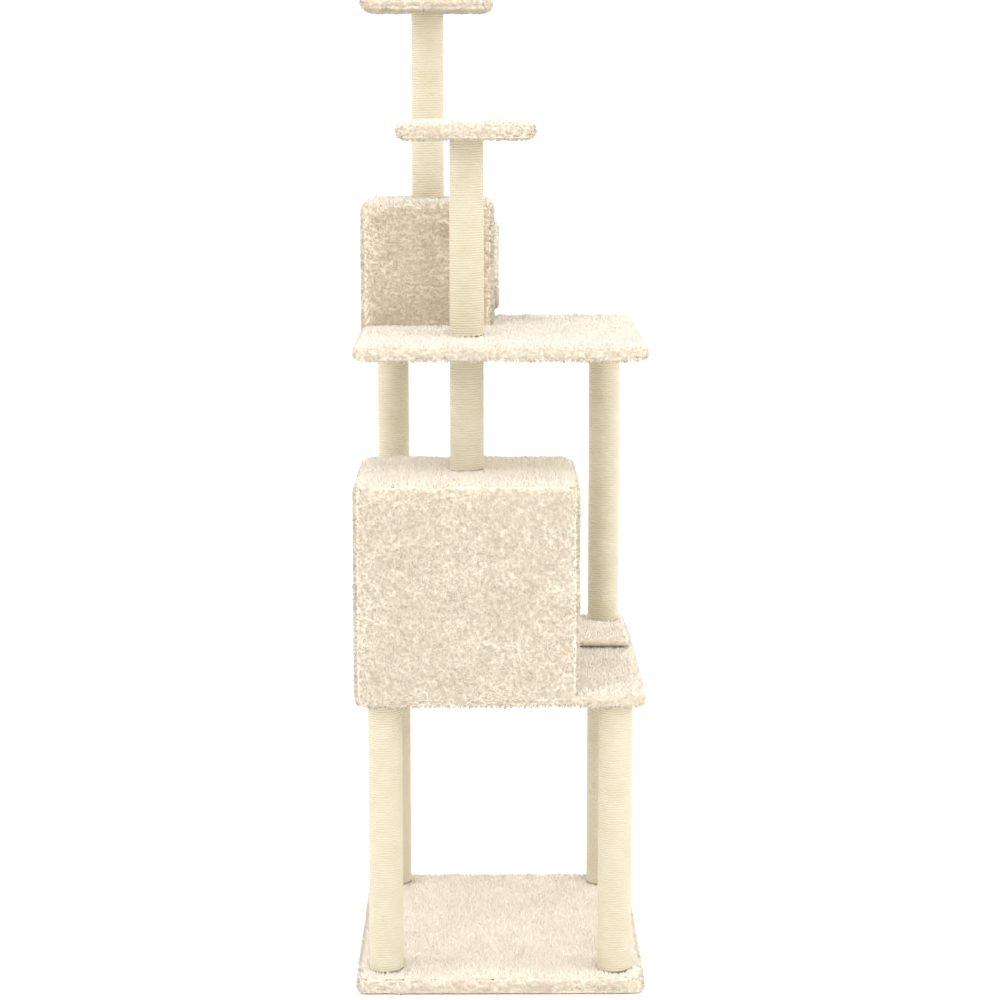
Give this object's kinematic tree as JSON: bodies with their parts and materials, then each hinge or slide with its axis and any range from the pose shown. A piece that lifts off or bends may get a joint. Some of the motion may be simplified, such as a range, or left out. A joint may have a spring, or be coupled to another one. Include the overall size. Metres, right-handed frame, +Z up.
{
  "type": "cat tree",
  "caption": "Tall plush-covered cat tree with sisal-wrapped posts, stacked platforms, two boxy houses and raised square perches.",
  "frame": {"origin": "on the floor, under the centre of the base", "axes": "+Z up, along the posts; +X to the right, the side the houses' doorways face; -Y the front, where the large house stands flush with its platform's edge"},
  "size_m": [0.6, 0.7, 2.0596],
  "materials": {
    "plush": "matte",
    "plush_rim": "matte",
    "sisal": "matte",
    "cardboard": "matte",
    "particle_board": "matte",
    "zinc_steel": "satin"
  },
  "bodies": {
    "root": {"base_board": "particle_board", "base_bolt_front_left": "zinc_steel", "base_bolt_front_right": "zinc_steel", "base_bolt_rear_left": "zinc_steel", "base_bolt_rear_right": "zinc_steel", "base_cover": "plush", "centre_post_core": "cardboard", "centre_post_sisal": "sisal", "lower_house_back_panel": "particle_board", "lower_house_cover": "plush", "lower_house_doorway_rim": "plush_rim", "lower_house_front_panel": "particle_board", "lower_house_left_panel": "particle_board", "lower_house_right_panel": "particle_board", "lower_house_roof_bolt": "zinc_steel", "lower_house_roof_panel": "particle_board", "lower_platform_board": "particle_board", "lower_platform_bolt_front_left": "zinc_steel", "lower_platform_bolt_front_right": "zinc_steel", "lower_platform_cover": "plush", "lower_post_front_left_core": "cardboard", "lower_post_front_left_sisal": "sisal", "lower_post_front_right_core": "cardboard", "lower_post_front_right_sisal": "sisal", "lower_post_rear_left_core": "cardboard", "lower_post_rear_left_sisal": "sisal", "lower_post_rear_right_core": "cardboard", "lower_post_rear_right_sisal": "sisal", "mid_platform_board": "particle_board", "mid_platform_bolt_rear_left": "zinc_steel", "mid_platform_bolt_rear_right": "zinc_steel", "mid_platform_cover": "plush", "perch_board": "particle_board", "perch_bolt": "zinc_steel", "perch_cover": "plush", "perch_post_core": "cardboard", "perch_post_sisal": "sisal", "step_board": "particle_board", "step_cover": "plush", "stud_centre": "zinc_steel", "stud_rear_left": "zinc_steel", "stud_rear_right": "zinc_steel", "top_perch_board": "particle_board", "top_perch_bolt": "zinc_steel", "top_perch_cover": "plush", "top_post_core": "cardboard", "top_post_sisal": "sisal", "upper_house_back_panel": "particle_board", "upper_house_cover": "plush", "upper_house_doorway_rim": "plush_rim", "upper_house_front_panel": "particle_board", "upper_house_left_panel": "particle_board", "upper_house_right_panel": "particle_board", "upper_house_roof_bolt": "zinc_steel", "upper_house_roof_panel": "particle_board", "upper_post_rear_left_core": "cardboard", "upper_post_rear_left_sisal": "sisal", "upper_post_rear_right_core": "cardboard", "upper_post_rear_right_sisal": "sisal"}
  },
  "joints": []
}
